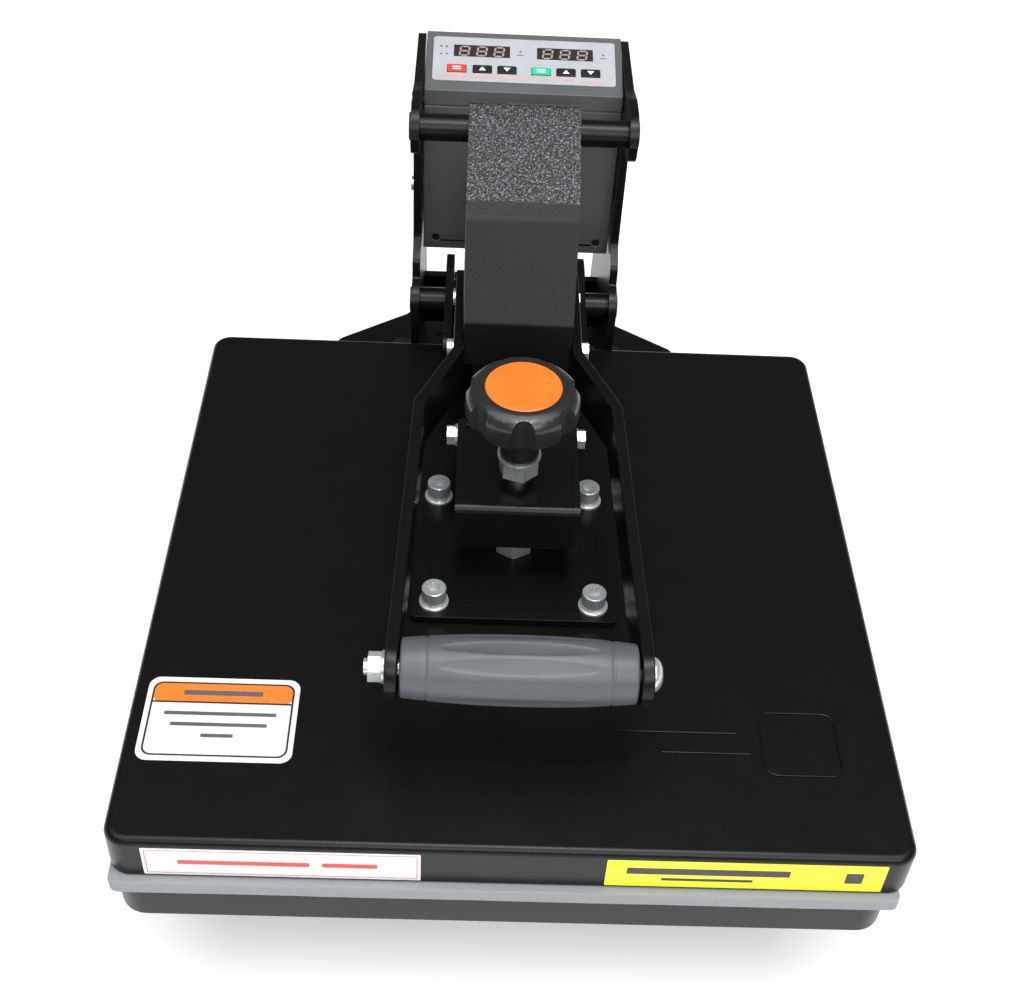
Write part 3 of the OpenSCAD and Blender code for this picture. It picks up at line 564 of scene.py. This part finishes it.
def build_pad():
    """A sheet of sponge with soft, slightly uneven cut edges."""
    w, d, t = (pad_hi - pad_lo) / MM
    mid = (pad_lo + pad_hi) / 2
    outline = pad_outline(w, d)
    bm = bmesh.new()
    levels = ((PAD_INSET, -t / 2), (0.12, -t / 2 + 0.7), (0.0, -t / 4), (0.05, 0), (0.0, t / 4),
              (0.12, t / 2 - 0.7), (PAD_INSET, t / 2))
    rings = []
    for j, (cut, z) in enumerate(levels):
        rings.append([])
        for i, (x, y) in enumerate(outline):
            ragged = PAD_RAGGED * (0.5 + 0.5 * math.sin(i * 0.61 + j * 1.7) * math.sin(i * 0.23 + j))
            k = 1 - 2 * (cut + ragged) / w
            rings[-1].append(bm.verts.new(mid + Vector((x * k, y * k, z)) * MM))
    skin(bm, rings)
    o = finish_piece(bm, "sponge_pad", MATERIALS["pad_silicone"], "stand")
    smooth_sides(o)
    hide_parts("silicone_pad")


build_pad()

# ---------- floor, light and camera ----------

FLOOR_HALF, FLOOR_GLOW, SKY_LIGHT = 6, 0.28, 0.16

floor_bm = bmesh.new()
bmesh.ops.create_grid(floor_bm, x_segments=1, y_segments=1, size=FLOOR_HALF)
floor_mesh = bpy.data.meshes.new("floor")
floor_bm.to_mesh(floor_mesh)
floor_bm.free()
floor = bpy.data.objects.new("floor", floor_mesh)
bpy.context.scene.collection.objects.link(floor)
floor_paper = grained("floor_paper", (0.93, 0.93, 0.93), (0.95, 0.95, 0.95), (0.8, 0.9), blotch=2, grain=60,
                      depth=0.02)
paper_shader = floor_paper.node_tree.nodes["Principled BSDF"]
paper_shader.inputs["Emission Color"].default_value = (1, 1, 1, 1)
paper_shader.inputs["Emission Strength"].default_value = FLOOR_GLOW
floor.data.materials.append(floor_paper)

world = bpy.data.worlds.new("studio")
bpy.context.scene.world = world
world.use_nodes = True
sky = world.node_tree.nodes["Background"]
sky.inputs["Color"].default_value = (1.0, 1.0, 1.0, 1)
sky.inputs["Strength"].default_value = SKY_LIGHT


def area_light(name, at, target, size, power):
    """A white panel at a place in metres that faces target, with power in watts."""
    lamp = bpy.data.lights.new(name, "AREA")
    lamp.shape = "RECTANGLE"
    lamp.size, lamp.size_y = size
    lamp.energy = power
    o = bpy.data.objects.new(name, lamp)
    o.location = at
    o.rotation_mode = "QUATERNION"
    o.rotation_quaternion = (Vector(target) - Vector(at)).to_track_quat("-Z", "Y")
    bpy.context.scene.collection.objects.link(o)


area_light("overhead", (0, -0.5, 2.4), (0, -0.1, 0), (3.6, 2.0), 62)
area_light("spark", (0.1, -0.35, 1.8), (0, 0, 0.15), (0.6, 0.12), 8)
area_light("front", (0.3, -1.6, 1.3), (0, 0, 0.1), (1.6, 0.8), 18)

PITCH, YAW, ROLL = 0.763, 0.040, 0.060  # radians: downwards, to the right, anticlockwise
SENSOR_MM, LENS_MM = 36, 53.35
CAMERA_AT = Vector((-0.0295, -0.6841, 0.7247))
forward = Vector((math.sin(YAW) * math.cos(PITCH), math.cos(YAW) * math.cos(PITCH), -math.sin(PITCH)))
level = Vector((math.cos(YAW), -math.sin(YAW), 0))
above = level.cross(forward)
right = level * math.cos(ROLL) + above * math.sin(ROLL)
top = above * math.cos(ROLL) - level * math.sin(ROLL)
camera_data = bpy.data.cameras.new("camera")
camera_data.sensor_width = SENSOR_MM
camera_data.lens = LENS_MM
camera_data.clip_start = 0.01
camera = bpy.data.objects.new("camera", camera_data)
camera.matrix_world = Matrix.Translation(CAMERA_AT) @ Matrix((right, top, -forward)).transposed().to_4x4()
bpy.context.scene.collection.objects.link(camera)
bpy.context.scene.camera = camera
bpy.context.scene.view_settings.view_transform = "Standard"
